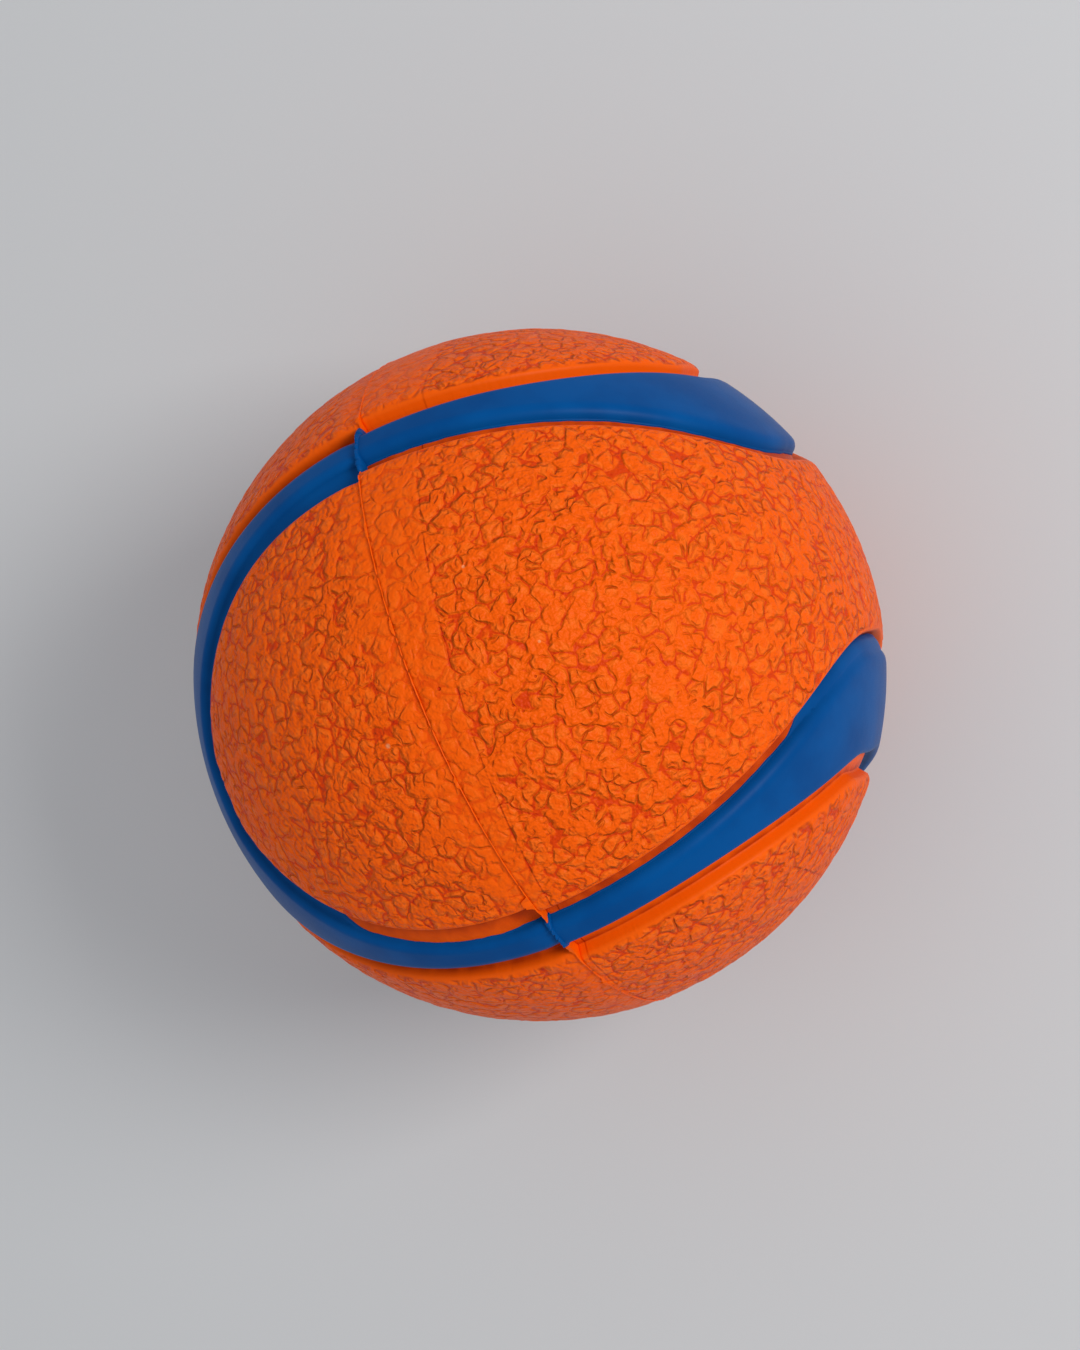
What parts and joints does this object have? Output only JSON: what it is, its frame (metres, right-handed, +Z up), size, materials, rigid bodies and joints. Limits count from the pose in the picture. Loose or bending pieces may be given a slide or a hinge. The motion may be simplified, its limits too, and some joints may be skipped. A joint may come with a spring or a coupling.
{
  "type": "rubber fetch ball",
  "caption": "Hollow two-colour rubber fetch ball: two bonded half shells with tapered bands laid in channels along a tennis-ball seam.",
  "frame": {"origin": "centre of the ball", "axes": "+X is normal to the flat bond face between the two half shells, towards half_shell_a; +Z runs up through the middle of a lobe of an orange panel; +Y completes the frame and runs through a lobe of the other panel"},
  "size_m": [0.064, 0.0646, 0.0646],
  "materials": {
    "orange_rubber": "matte moulded rubber, pebbled like leather",
    "blue_rubber": "smooth moulded rubber, satin"
  },
  "bodies": {
    "root": {"half_shell_a": "orange_rubber", "half_shell_b": "orange_rubber", "band_a1": "blue_rubber", "band_a2": "blue_rubber", "band_b1": "blue_rubber", "band_b2": "blue_rubber"}
  },
  "joints": []
}
